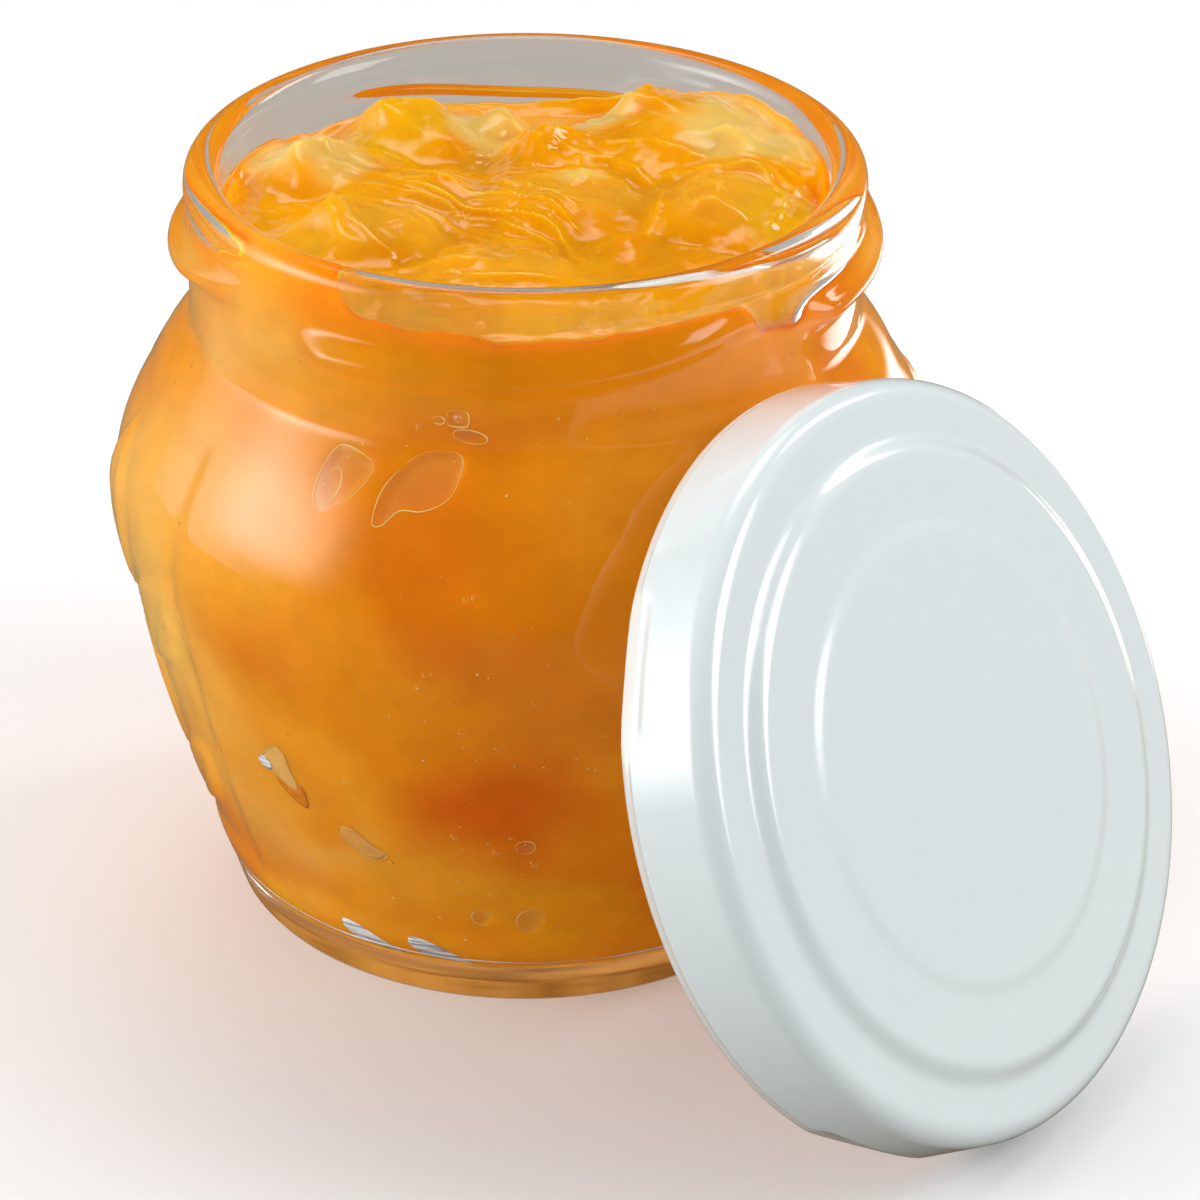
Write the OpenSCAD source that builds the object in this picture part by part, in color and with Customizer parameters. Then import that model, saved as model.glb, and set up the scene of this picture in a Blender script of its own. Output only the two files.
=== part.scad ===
// Jam pot: a squat glass jar with a lug finish, filled with fruit jam, and its
// white twist-off lid, taken off and leaning on the jar.
// The origin is the centre of the jar's base, on the table. +Z is up, and the
// lid leans on the jar from the -Y side.

/* [Jar] */
// Height of the jar, from the table to the top of the lip
jar_h = 71.2; // [66:0.1:80]
// Inner radius of the mouth
mouth_r = 26.6; // [26:0.1:27]
// Thickness of the lip
lip_t = 3.3; // [3.2:0.05:3.8]
// Height of the plain band of the lip, with its rounded top
lip_band = 3.2; // [2.6:0.1:3.6]
// How far the neck lies behind the lip's outer face
neck_recess = 0.2; // [0.1:0.05:0.5]
// Height of the neck, from the shoulder to the top of the lip
neck_h = 14.4; // [13:0.1:17]
// Height of the shoulder, from the belly's widest circle to the neck
shoulder_h = 15.8; // [13:0.1:20]
// How far the belly stands out from the neck
belly_swell = 7.9; // [6:0.1:10]
// How far the heel stands in from the belly
heel_inset = 10.2; // [8:0.1:12]
// Radius of the heel's rounding
heel_round = 2.2; // [1.5:0.1:3]
// Width of the flat ring that the jar stands on
bearing_w = 4.7; // [3:0.1:7]
// Thickness of the glass wall
wall = 2.8; // [2.2:0.1:3]
// Thickness of the glass under the jam, over the hollow of the base
base_t = 3.2; // [2.5:0.1:4]
// Depth of the hollow in the middle of the base
base_hollow = 1; // [0.6:0.1:1.5]
// Radius of the rounding inside, where the floor meets the wall
inner_round = 3; // [2:0.1:4]

/* [Thread] */
// Number of thread ridges round the neck
thread_count = 4; // [3:1:5]
// Radius of a ridge's round section
ridge_section = 1.3; // [1:0.05:1.5]
// Height of a ridge's crest over the neck
ridge_height = 1.7; // [1.4:0.05:1.8]
// Depth of a ridge's low end under the top of the lip
ridge_depth = 7.2; // [7:0.1:8]
// Height that a ridge climbs
ridge_rise = 2.4; // [1.6:0.1:3]
// Angle left free between one ridge and the next
ridge_gap = 6; // [4:1:30]
// Turn of the first ridge's low end about the jar's axis
thread_turn = -5; // [-45:1:45]

/* [Jam] */
// Depth of the jam's surface under the top of the lip, at the jar's axis
headspace = 5.8; // [5:0.1:9]
// Angle at which the jam's surface falls towards the back
level_tilt = 2.4; // [0:0.2:4]
// Turn of the jam's front about the jar's axis
jam_turn = -54; // [-180:1:180]
// Gap between the fruit by the wall and the glass
fruit_inset = 0.4; // [0.2:0.05:1]

/* [Lid] */
// Clearance between the thread's crest and the outside of the lid's skirt
lid_clearance = 0.9; // [0.6:0.05:1.2]
// How far the rolled edge stands out from the top of the skirt
curl_step = 0.6; // [0.4:0.05:1]
// Radius of the rolled edge's section
curl_section = 0.85; // [0.7:0.05:1]
// Thickness of the tinplate
sheet = 0.3; // [0.2:0.05:0.35]
// Height of the lid at its shoulder
lid_h = 8.6; // [8.2:0.1:9.4]
// Radius of the shoulder's rounding
shoulder_round = 2; // [1.5:0.1:2.4]
// Width of the flat ring round the raised panel, with the shoulder
channel_w = 4.7; // [4:0.1:5.5]
// Width of the raised panel's sloped wall
panel_slope_w = 2.2; // [1.6:0.1:3]
// Height of the raised panel over the shoulder
panel_rise = 0.9; // [0.5:0.1:1.2]
// How far the middle disc stands in from the panel's edge
disc_inset = 5.1; // [3:0.1:8]
// Height of the middle disc over the panel
disc_rise = 0.25; // [0.15:0.05:0.4]
// Width of the soft step up to the middle disc
disc_step = 1.8; // [1:0.1:3]
// Number of lugs
lug_count = 4; // [3:1:5]
// Angle that one lug spans
lug_arc = 26; // [18:1:30]
// Clearance between a lug and the jar's lip
lug_clearance = 0.5; // [0.3:0.05:0.9]
// Height of a lug
lug_h = 2.4; // [2:0.1:2.8]
// Depth of the flat pressed into the rolled edge at a lug
flat_depth = 0.8; // [0.5:0.05:0.9]
// Turn of the lugs about the lid's axis
lug_turn = 52; // [-45:1:90]

/* [Seal] */
// How far the sealing ring reaches in past the edge of the mouth
seal_overlap = 0.2; // [0.1:0.05:0.8]
// Thickness of the sealing ring
seal_t = 1; // [0.8:0.05:1.2]
// Radius of the rounding on the sealing ring's edges
seal_round = 0.4; // [0.2:0.05:0.45]

/* [Rest of the lid] */
// Angle of the leaning lid's plane to the table
lean = 64; // [56:1:72]
// Sideways place of the leaning lid
lid_side = -10; // [-12:0.5:12]
// Gap between the leaning lid's edge and the jar
lean_gap = 0.25; // [0.15:0.05:0.4]

/* [Hidden] */
$fn = 64;
// Overrun of cuts
cut = 0.5;
// Steps of each curve
spline_steps = 4;
arc_steps = 8;
curve_steps = 6;
// The flank between the heel and the belly: shares of its height and of its swell
flank_shares = [[-0.18, -0.24], [0, 0], [0.18, 0.24], [0.36, 0.465], [0.56, 0.675],
                [0.75, 0.83], [0.9, 0.96], [1, 1], [1.12, 1]];
// Width across a fruit piece's cut faces, as a share of its corner radius
dice_share = 1.42;
// Angle over the level at which the lid's shoulder leaves the skirt
skirt_angle = 10;

// Mounds of the jam's surface: places right of and behind the middle and radius
// as shares of mouth_r, and height over the surface as a share of headspace
mound_shares = [
    [0.56, 0.49, 0.60, 0.76],
    [0.80, 0.22, 0.38, 0.68],
    [0.11, 0.04, 0.60, 0.38],
    [0.66, -0.06, 0.45, 0.52],
    [-0.56, -0.26, 0.41, 0.45],
    [-0.38, 0.08, 0.53, 0.34],
    [-0.68, 0.34, 0.41, 0.43],
    [-0.34, 0.62, 0.38, 0.43],
    [0.13, 0.41, 0.34, 0.41],
    [-0.08, -0.56, 0.53, 0.33]
];
// Fruit in the surface of the jam: name, places right of and behind the middle
// as shares of mouth_r, corner radius as a share of mouth_r, height of its
// middle over the jam's surface as a share of its radius, and its turns
surface_fruit_shares = [
    ["fruit_left_back",    -0.70,  0.30, 0.215, -0.30, [20, 35, 10]],
    ["fruit_back_left",    -0.40,  0.66, 0.190, -0.14, [35, 15, 40]],
    ["fruit_back_middle",  -0.08,  0.70, 0.130, -0.29, [15, 50, 25]],
    ["fruit_middle_back",   0.10,  0.40, 0.185, -0.20, [40, 30, 5]],
    ["fruit_back_right",    0.42,  0.64, 0.205,  0.04, [25, 20, 60]],
    ["fruit_right_back",    0.72,  0.32, 0.190,  0.04, [10, 35, 30]],
    ["fruit_left_front",   -0.60, -0.25, 0.235, -0.32, [30, 30, 50]],
    ["fruit_middle",        0.22,  0.04, 0.175, -0.39, [20, 20, 15]],
    ["fruit_right",         0.66, -0.08, 0.210, -0.27, [35, 10, 70]],
    ["fruit_front",        -0.14, -0.53, 0.185, -0.41, [15, 25, 35]],
    ["fruit_right_front",   0.36, -0.36, 0.185, -0.61, [25, 40, 20]]
];
// Fruit against the glass: name, bearing from the jam's right, height as a
// share of jar_h, corner radius as a share of mouth_r, and its turns
wall_fruit_shares = [
    ["fruit_wall_upper", -118, 0.67, 0.150, [10, 25, 40]],
    ["fruit_wall_chip",  -128, 0.36, 0.120, [30, 10, 20]],
    ["fruit_wall_slice", -117, 0.27, 0.130, [60, 30, 15]],
    ["fruit_wall_low",   -130, 0.16, 0.130, [20, 30, 45]],
    ["fruit_wall_base",   -95, 0.14, 0.140, [35, 20, 10]]
];
surface_fruit = [for (piece = surface_fruit_shares) piece[0]];
wall_fruit = [for (piece = wall_fruit_shares) piece[0]];

// One point of a smooth curve between b and c, which a and d steer
function spline_point(a, b, c, d, t) =
    0.5 * (2 * b + (c - a) * t + (2 * a - 5 * b + 4 * c - d) * t * t
    + (3 * b - a - 3 * c + d) * t * t * t);
// A smooth curve through all but the first and last of the given points
function spline(knots) = [
    for (i = [1 : len(knots) - 3], j = [0 : spline_steps - 1])
        spline_point(knots[i - 1], knots[i], knots[i + 1], knots[i + 2], j / spline_steps)
];
// An arc from angle a to angle b
function arc(centre, radius, a, b) = [
    for (i = [0 : arc_steps])
        let (turn = a + (b - a) * i / arc_steps) centre + radius * [cos(turn), sin(turn)]
];
// A soft step from one point to another, level at both ends
function soft_step(from, to) = [
    for (i = [0 : curve_steps])
        let (t = i / curve_steps)
            [from[0] + (to[0] - from[0]) * t, from[1] + (to[1] - from[1]) * (1 - cos(180 * t)) / 2]
];
// Point i of a path, moved to the path's left by depth
function moved_left(path, i, depth) =
    let (step = path[min(i + 1, len(path) - 1)] - path[max(i - 1, 0)], way = step / norm(step))
        path[i] + depth * [-way[1], way[0]];
function reversed(path) = [for (i = [len(path) - 1 : -1 : 0]) path[i]];

// Radii and heights of the jar, each from the one above it
lip_r = mouth_r + lip_t;
neck_r = lip_r - neck_recess;
neck_z = jar_h - neck_h;
belly_r = neck_r + belly_swell;
belly_z = neck_z - shoulder_h;
heel_r = belly_r - heel_inset;
base_hollow_r = heel_r - heel_round - bearing_w;

// Outer outline of the body, from the heel up to the neck
flank = [
    for (share = spline(flank_shares))
        [heel_r + (belly_r - heel_r) * share[1],
         heel_round + (belly_z - heel_round) * share[0]]
];
shoulder = [
    for (i = [0 : arc_steps])
        [neck_r + (belly_r - neck_r) * cos(90 * i / arc_steps),
         belly_z + (neck_z - belly_z) * i / arc_steps]
];
body_outline = concat(flank, shoulder);
lip_half = (lip_r - mouth_r) / 2;
lip_centre = [mouth_r + lip_half, jar_h - lip_half];
outer_outline = concat(
    [[0, base_hollow], [base_hollow_r - base_hollow, base_hollow], [base_hollow_r, 0]],
    arc([heel_r - heel_round, heel_round], heel_round, -90, 0),
    body_outline,
    [[neck_r, jar_h - lip_band], [lip_r, jar_h - lip_band + lip_r - neck_r]],
    arc(lip_centre, lip_half, 0, 180)
);

// Inner outline of the body: the outer one moved in by the wall
floor_z = base_hollow + base_t;
wall_start_z = floor_z + inner_round;
inner_flank = [
    for (i = [0 : len(body_outline) - 1])
        let (point = moved_left(body_outline, i, wall))
            if (point[1] > wall_start_z + cut && point[0] > mouth_r) point
];
foot_r = inner_flank[0][0];
inner_outline = concat(
    [[0, floor_z]],
    arc([foot_r - inner_round, wall_start_z], inner_round, -90, 0),
    inner_flank,
    [[mouth_r, neck_z + wall / 2]]
);
jam_z = jar_h - headspace;

// Height of a ridge's middle line over its low end, at an angle from that end
ridge_arc = 360 / thread_count - ridge_gap;
crest_r = neck_r + ridge_height;
ridge_centre_r = crest_r - ridge_section;
function ridge_climb(turn) = ridge_rise / 2 * (1 + sin(turn - ridge_arc / 2) / sin(ridge_arc / 2));
// Outer radius of the jar at a height and bearing, with the ridges counted in
radius_table = [
    for (point = concat(body_outline, [[neck_r, jar_h - lip_band], [lip_r, lip_centre[1]]]))
        [point[1], point[0]]
];
function ridge_radius(z, turn) =
    let (off = z - (jar_h - ridge_depth) - ridge_climb(turn))
        turn < ridge_arc && abs(off) < ridge_section
            ? ridge_centre_r + sqrt(ridge_section * ridge_section - off * off) : 0;
function jar_radius(z, bearing) =
    let (pitch = 360 / thread_count, turn = (bearing - thread_turn + 360 + pitch) % pitch)
        max(lookup(z, radius_table), ridge_radius(z, turn));
function inner_radius(z) =
    lookup(z, [for (point = inner_outline) if (point[1] > floor_z) [point[1], point[0]]]);

module glass_jar() color([0.90, 0.93, 0.93, 0.4]) union() {
    rotate_extrude() polygon(concat(outer_outline, reversed(inner_outline)));
    for (i = [0 : thread_count - 1])
        rotate([0, 0, thread_turn + 360 * i / thread_count])
            translate([0, 0, jar_h - ridge_depth]) thread_ridge();
}

// One ridge: an arc round the neck, tilted so that it climbs away from its low end
module thread_ridge() {
    ridge_tilt = asin(ridge_rise / (2 * ridge_centre_r * sin(ridge_arc / 2)));
    rotate([0, 0, ridge_arc / 2])
        translate([0, 0, ridge_rise / 2])
            rotate([ridge_tilt, 0, 0])
                rotate([0, 0, -ridge_arc / 2])
                    rotate_extrude(angle = ridge_arc)
                        translate([ridge_centre_r, 0]) circle(r = ridge_section);
}

// The set jam fills the jar up to its tilted surface, with soft mounds on it
module jam_jelly() color([0.88, 0.50, 0.08]) difference() {
    intersection() {
        rotate_extrude() polygon(concat(inner_outline, [[mouth_r, jar_h], [0, jar_h]]));
        rotate([0, 0, jam_turn]) {
            jam_under_surface();
            for (mound = mound_shares) jam_mound(mound);
        }
    }
    for (piece = surface_fruit_shares) surface_piece(piece);
    for (piece = wall_fruit_shares) wall_piece(piece);
}
module jam_under_surface() translate([0, 0, jam_z])
    rotate([-level_tilt, 0, 0])
        translate([0, 0, -2 * jar_h]) cylinder(r = 2 * belly_r, h = 2 * jar_h);
module jam_mound(mound) {
    round_r = mound[2] * mouth_r;
    translate([mound[0] * mouth_r, mound[1] * mouth_r, jam_z + mound[3] * headspace - round_r])
        sphere(r = round_r);
}

// A piece of diced fruit with its corners rounded off
module dice(corner, turns) rotate(turns) intersection() {
    cube(dice_share * corner, center = true);
    sphere(r = corner);
}
module surface_piece(piece) {
    corner = piece[3] * mouth_r;
    rotate([0, 0, jam_turn])
        translate([piece[1] * mouth_r, piece[2] * mouth_r, jam_z + piece[4] * corner])
            dice(corner, piece[5]);
}
module wall_piece(piece) {
    corner = piece[3] * mouth_r;
    height = piece[2] * jar_h;
    away = min(inner_radius(height - corner), inner_radius(height), inner_radius(height + corner));
    rotate([0, 0, jam_turn + piece[1]])
        translate([away - corner - fruit_inset, 0, height])
            dice(corner, piece[4]);
}

// Radii of the lid, from the thread and the lip that it goes over
lid_r = crest_r + lid_clearance;
curl_r = lid_r + curl_step;
panel_foot_r = lid_r - channel_w;
panel_r = panel_foot_r - panel_slope_w;
disc_r = panel_r - disc_inset;
lug_r = lip_r + lug_clearance;

// The lid's outer face, from the rolled edge to the middle
curl_centre = [curl_r - curl_section, curl_section];
panel_top = lid_h + panel_rise;
face_z = panel_top + disc_rise;
lid_outline = concat(
    [[curl_r, curl_section], [lid_r, lid_h - shoulder_round]],
    arc([lid_r - shoulder_round, lid_h - shoulder_round], shoulder_round, skirt_angle, 90),
    soft_step([panel_foot_r, lid_h], [panel_r, panel_top]),
    soft_step([disc_r, panel_top], [disc_r - disc_step, face_z]),
    [[0, face_z]]
);
lid_inline = [for (i = [0 : len(lid_outline) - 1]) moved_left(lid_outline, i, sheet)];
flat_r = curl_r - flat_depth;

module lid_shell() color([0.94, 0.96, 0.96]) on_the_table() {
    difference() {
        rotate_extrude() lid_section();
        at_lugs() translate([flat_r, -curl_r / 2, -cut]) cube([curl_r - lid_r + cut, curl_r, lug_h + cut]);
    }
    at_lugs() intersection() {
        rotate([0, 0, -lug_arc / 2])
            rotate_extrude(angle = lug_arc) translate([lug_r, 0]) square([curl_r - lug_r, lug_h]);
        translate([0, -curl_r / 2, 0]) cube([flat_r, curl_r, lug_h]);
    }
}
module lid_section() {
    polygon(concat(lid_outline, reversed([for (p = lid_inline) [max(p[0], 0), p[1]]])));
    difference() {
        translate(curl_centre) circle(r = curl_section);
        translate(curl_centre) circle(r = curl_section - sheet);
        translate(curl_centre - [curl_section + cut, 0]) square([curl_section + cut, curl_section + cut]);
    }
}
module at_lugs() for (i = [0 : lug_count - 1]) rotate([0, 0, lug_turn + 360 * i / lug_count]) children();

// The sealing ring lies in the channel under the lid's shoulder
seal_inner_r = mouth_r - seal_overlap;
seal_outer_r = lid_r - shoulder_round;
seal_top = lid_h - sheet;
module lid_seal() color([0.93, 0.90, 0.84]) on_the_table() rotate_extrude() polygon(concat(
    [[seal_inner_r, seal_top]],
    arc([seal_inner_r + seal_round, seal_top - seal_t + seal_round], seal_round, 180, 270),
    arc([seal_outer_r - seal_round, seal_top - seal_t + seal_round], seal_round, 270, 360),
    [[seal_outer_r, seal_top]]
));

// Height of the leaning lid's centre, with its rolled edge on the table
lid_z = curl_centre[0] * sin(lean) - curl_centre[1] * cos(lean) + curl_section;
// A point of the rolled edge's middle line, at an angle from its top, seen from the lid's centre
function edge_point(turn) = [
    curl_centre[0] * sin(turn) + lid_side,
    curl_centre[0] * cos(turn) * cos(lean) - curl_centre[1] * sin(lean),
    curl_centre[0] * cos(turn) * sin(lean) + curl_centre[1] * cos(lean) + lid_z
];
// How far in front of the jar's axis the lid's centre must stand for that point to clear the jar
function stand_off(point) =
    let (bearing = -acos(min(max(point[0] / lip_r, -1), 1)),
         widest = max([for (side = [-1, 0, 1]) jar_radius(point[2] + side * curl_section, bearing)]),
         reach = widest + curl_section + lean_gap)
        abs(point[0]) < reach ? sqrt(reach * reach - point[0] * point[0]) + point[1] : 0;
lid_y = -max([for (turn = [-90 : 2 : 90]) stand_off(edge_point(turn))]);
module on_the_table() translate([lid_side, lid_y, lid_z]) rotate([lean, 0, 0]) children();

// The line about which the lid tips over on to its face
tip_y = lid_y - (lid_z + face_z * cos(lean)) / tan(lean) - face_z * sin(lean);
echo(lid_centre = [lid_side, lid_y, lid_z], tip_y = tip_y, tip_angle = 180 - lean);

glass_jar();
jam_jelly();
for (piece = surface_fruit_shares)
    color([0.93, 0.68, 0.20]) surface_piece(piece);
for (piece = wall_fruit_shares)
    color([0.95, 0.75, 0.35]) wall_piece(piece);
lid_shell();
lid_seal();
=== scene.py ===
from math import cos, pi, radians, sin, tan

import bpy
import numpy as np
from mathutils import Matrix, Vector


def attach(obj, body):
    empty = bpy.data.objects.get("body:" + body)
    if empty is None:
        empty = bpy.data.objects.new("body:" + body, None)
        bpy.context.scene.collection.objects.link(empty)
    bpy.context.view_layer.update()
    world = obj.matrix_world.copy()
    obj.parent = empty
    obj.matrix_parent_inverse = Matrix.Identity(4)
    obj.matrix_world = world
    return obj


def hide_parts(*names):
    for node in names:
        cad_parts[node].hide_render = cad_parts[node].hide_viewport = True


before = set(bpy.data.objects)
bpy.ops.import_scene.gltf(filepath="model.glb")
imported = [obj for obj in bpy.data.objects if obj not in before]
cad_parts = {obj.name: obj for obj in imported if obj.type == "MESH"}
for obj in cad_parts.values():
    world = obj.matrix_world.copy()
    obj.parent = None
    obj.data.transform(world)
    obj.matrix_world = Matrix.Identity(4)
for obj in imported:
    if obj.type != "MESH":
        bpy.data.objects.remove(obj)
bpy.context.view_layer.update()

MM = 0.001
VIEW_TURN = radians(-54)

# The jar
JAR_H = 71.2
MOUTH_R = 26.6
LIP_T = 3.3
LIP_BAND = 3.2
NECK_RECESS = 0.2
NECK_H = 14.4
SHOULDER_H = 15.8
BELLY_SWELL = 7.9
HEEL_INSET = 10.2
HEEL_ROUND = 2.2
BEARING_W = 4.7
WALL = 2.8
BASE_T = 3.2
BASE_HOLLOW = 1
INNER_ROUND = 3
FLANK_SHARES = [
    (-0.18, -0.24), (0, 0), (0.18, 0.24), (0.36, 0.465), (0.56, 0.675),
    (0.75, 0.83), (0.9, 0.96), (1, 1), (1.12, 1),
]
LIP_R = MOUTH_R + LIP_T
NECK_R = LIP_R - NECK_RECESS
NECK_Z = JAR_H - NECK_H
BELLY_R = NECK_R + BELLY_SWELL
BELLY_Z = NECK_Z - SHOULDER_H
HEEL_R = BELLY_R - HEEL_INSET
HOLLOW_R = HEEL_R - HEEL_ROUND - BEARING_W
FLOOR_Z = BASE_HOLLOW + BASE_T

# The thread
THREAD_COUNT = 4
RIDGE_START = radians(-131)
RIDGE_ARC = radians(88)
RIDGE_LEVEL = radians(38)
RIDGE_DEPTH = 7.4
RIDGE_RISE = 2.4
RIDGE_H = 1.7
RIDGE_W = 1.3
RIDGE_RUN_IN = radians(9)
RIDGE_RUN_OUT = radians(30)
RIDGE_THIN_END = 0.15
RIDGE_SQUARENESS = 2.8

# The jam
HEADSPACE = 5.8
JAM_Z = JAR_H - HEADSPACE
OVERLAP = 0.12

# The lid
CREST_R = NECK_R + RIDGE_H
LID_R = CREST_R + 0.9
CURL_R = LID_R + 0.6
CURL = 0.85
SHEET = 0.3
LID_H = 8.6
SHOULDER = 2
PANEL_FOOT_R = LID_R - 4.7
PANEL_R = PANEL_FOOT_R - 2.2
PANEL_RISE = 0.9
DISC_R = PANEL_R - 5.1
DISC_STEP = 1.8
DISC_RISE = 0.25
LUG_COUNT = 4
LUG_ARC = 26
LUG_R = LIP_R + 0.5
FLAT_R = CURL_R - 0.8
LUG_TURN = 52
LUG_LIFT = 0.35
SEAL_T = 1
SEAL_ROUND = 0.4
SEAL_GAP = 0.02
SEAL_SLOPE = 0.15
SEAL_WAVE = 0.06
SEAL_INNER_R = MOUTH_R - 0.2
LEAN = radians(64)
LID_CENTRE = np.array([-10, -44.0471, 29.2837])


# Curves and noise

def spline(knots, steps):
    """A smooth curve through all but the first and last knot."""
    k = np.array(knots, float)
    points = []
    for a, b, c, d in zip(k, k[1:], k[2:], k[3:]):
        for t in np.arange(steps) / steps:
            bend = (2 * a - 5 * b + 4 * c - d) * t * t + (3 * b - a - 3 * c + d) * t ** 3
            points.append(0.5 * (2 * b + (c - a) * t + bend))
    return np.array(points)


def arc(centre, radius, start, end, steps=16):
    turn = np.radians(np.linspace(start, end, steps + 1))
    return np.stack([centre[0] + radius * np.cos(turn), centre[1] + radius * np.sin(turn)], 1)


def soft_step(start, end, steps=16):
    """A step from one point to another, level at both ends."""
    t = np.linspace(0, 1, steps + 1)
    rise = (1 - np.cos(pi * t)) / 2
    return np.stack([start[0] + (end[0] - start[0]) * t, start[1] + (end[1] - start[1]) * rise], 1)


def lengths(path):
    steps = np.linalg.norm(np.diff(path, axis=0), axis=1)
    return np.concatenate([[0], np.cumsum(steps)])


def along(path, distances):
    s = lengths(path)
    return np.stack([np.interp(distances, s, path[:, i]) for i in range(path.shape[1])], 1)


def soften(path, reach, step=0.1):
    """The path with its corners rounded over about the given reach."""
    fine = along(path, np.arange(0, lengths(path)[-1], step))
    n = int(3 * reach / step)
    kernel = np.exp(-0.5 * (np.arange(-n, n + 1) * step / reach) ** 2)
    kernel /= kernel.sum()
    before = 2 * fine[0] - fine[n:0:-1]
    after = 2 * fine[-1] - fine[-2:-n - 2:-1]
    padded = np.concatenate([before, fine, after])
    return np.stack([np.convolve(padded[:, i], kernel, "valid") for i in range(2)], 1)


def spaced(path, spacing):
    """The path again, with points as far apart as spacing says for each point."""
    gaps = spacing(path)
    s = lengths(path)
    count = np.concatenate([[0], np.cumsum(np.diff(s) / ((gaps[1:] + gaps[:-1]) / 2))])
    return along(path, np.interp(np.linspace(0, count[-1], int(count[-1]) + 1), count, s))


def moved_left(path, depth):
    way = np.gradient(path, axis=0)
    way /= np.linalg.norm(way, axis=1)[:, None]
    return path + depth * np.stack([-way[:, 1], way[:, 0]], 1)


def smooth(low, high, value):
    t = np.clip((value - low) / (high - low), 0, 1)
    return t * t * (3 - 2 * t)


def band(z, start, full, fading, end):
    """1 from full to fading, and falling to 0 at start and end."""
    return smooth(start, full, z) * (1 - smooth(fading, end, z))


CELLS = 32


def noise(points, size, seed):
    """Smooth noise from about -1 to 1 at points, with cells of the given size."""
    lattice = np.random.default_rng(seed).uniform(-1, 1, (CELLS, CELLS, CELLS))
    place = points / size + 0.37 * CELLS
    base = np.floor(place).astype(int)
    part = place - base
    part = part ** 3 * (part * (6 * part - 15) + 10)
    total = np.zeros(points.shape[:-1])
    for corner in np.ndindex(2, 2, 2):
        weight = np.prod(np.where(corner, part, 1 - part), axis=-1)
        cell = (base + corner) % CELLS
        total += weight * lattice[cell[..., 0], cell[..., 1], cell[..., 2]]
    return total


def fractal(points, size, seed, octaves=3):
    return sum(noise(points, size / 2 ** i, seed + i) / 2 ** i for i in range(octaves))


def xyz(radius, turn, height):
    return np.stack(np.broadcast_arrays(radius * np.cos(turn), radius * np.sin(turn), height), -1)


def flat_points(x, y):
    return np.stack(np.broadcast_arrays(x, y, 0), -1)


def round_turns(count):
    """Evenly spaced angles, once round."""
    return np.arange(count) * 2 * pi / count


def angle_from(start, angle):
    """The turn from start to angle, at most half a turn either way."""
    return np.mod(angle - start + pi, 2 * pi) - pi


def from_segment(x, y, a, b):
    """How far places lie from the line between a and b."""
    way = b - a
    at = np.clip(((x - a[0]) * way[0] + (y - a[1]) * way[1]) / (way @ way + 1e-12), 0, 1)
    return np.hypot(x - a[0] - at * way[0], y - a[1] - at * way[1])


def in_turned_axes(x, y, angle):
    return x * cos(angle) + y * sin(angle), y * cos(angle) - x * sin(angle)


# Meshes

def placed(name, data):
    """A new object in the scene."""
    thing = bpy.data.objects.new(name, data)
    bpy.context.scene.collection.objects.link(thing)
    return thing


def new_object(name, points, faces, materials, slots=None):
    mesh = bpy.data.meshes.new(name)
    mesh.from_pydata((np.asarray(points) * MM).tolist(), [], faces)
    for material in materials:
        mesh.materials.append(material)
    if slots is not None:
        mesh.polygons.foreach_set("material_index", slots)
    mesh.shade_smooth()
    mesh.update()
    return placed(name, mesh)


def ring_faces(rows, columns, closed=False):
    """Four-sided faces between rows of points round the axis, numbered from 0."""
    i = np.arange(rows if closed else rows - 1)[:, None] * columns
    j = np.arange(columns)
    following = (j + 1) % columns
    above = (i + columns) % (rows * columns)
    faces = np.stack([i + j, i + following, above + following, above + j], -1)
    return faces.reshape(-1, 4).tolist()


def pole_rows_last(grid):
    return np.concatenate([grid[1:-1].reshape(-1, 3), grid[:1, 0], grid[-1:, 0]])


def capped_revolve(grid):
    """Points and faces of rows round the axis, the first and last of which close at a pole."""
    rows, columns = grid.shape[:2]
    faces = ring_faces(rows - 2, columns)
    first = (rows - 2) * columns
    last, top = first + 1, first - columns
    for j in range(columns):
        k = (j + 1) % columns
        faces += [[first, k, j], [last, top + j, top + k]]
    return pole_rows_last(grid), faces


# Shape of the glass

def body_path():
    shares = spline(FLANK_SHARES, 8)
    flank = np.stack([HEEL_R + (BELLY_R - HEEL_R) * shares[:, 1],
                      HEEL_ROUND + (BELLY_Z - HEEL_ROUND) * shares[:, 0]], 1)
    t = np.linspace(0, 1, 25)
    shoulder = np.stack([NECK_R + BELLY_SWELL * np.cos(t * pi / 2),
                         BELLY_Z + SHOULDER_H * t], 1)
    return np.concatenate([flank, shoulder])


def outer_path():
    half = LIP_T / 2
    return np.concatenate([
        [[0, BASE_HOLLOW], [HOLLOW_R - BASE_HOLLOW, BASE_HOLLOW], [HOLLOW_R, 0]],
        arc((HEEL_R - HEEL_ROUND, HEEL_ROUND), HEEL_ROUND, -90, 0),
        body_path(),
        [[NECK_R, JAR_H - LIP_BAND], [LIP_R, JAR_H - LIP_BAND + NECK_RECESS]],
        arc((MOUTH_R + half, JAR_H - half), half, 0, 180),
    ])


def inner_path():
    """The inside of the glass, from the middle of its floor up to the mouth."""
    body = moved_left(along(body_path(), np.arange(0, lengths(body_path())[-1], 0.5)), WALL)
    keep = (body[:, 1] > FLOOR_Z + INNER_ROUND + 0.5) & (body[:, 0] > MOUTH_R)
    flank = body[keep]
    return np.concatenate([
        [[0, FLOOR_Z]],
        arc((flank[0, 0] - INNER_ROUND, FLOOR_Z + INNER_ROUND), INNER_ROUND, -90, 0),
        flank,
        [[MOUTH_R, NECK_Z + WALL / 2], [MOUTH_R, JAR_H - LIP_T / 2]],
    ])


CORNER_REACH = 0.4
INNER_WALL = soften(inner_path(), CORNER_REACH)


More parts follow.
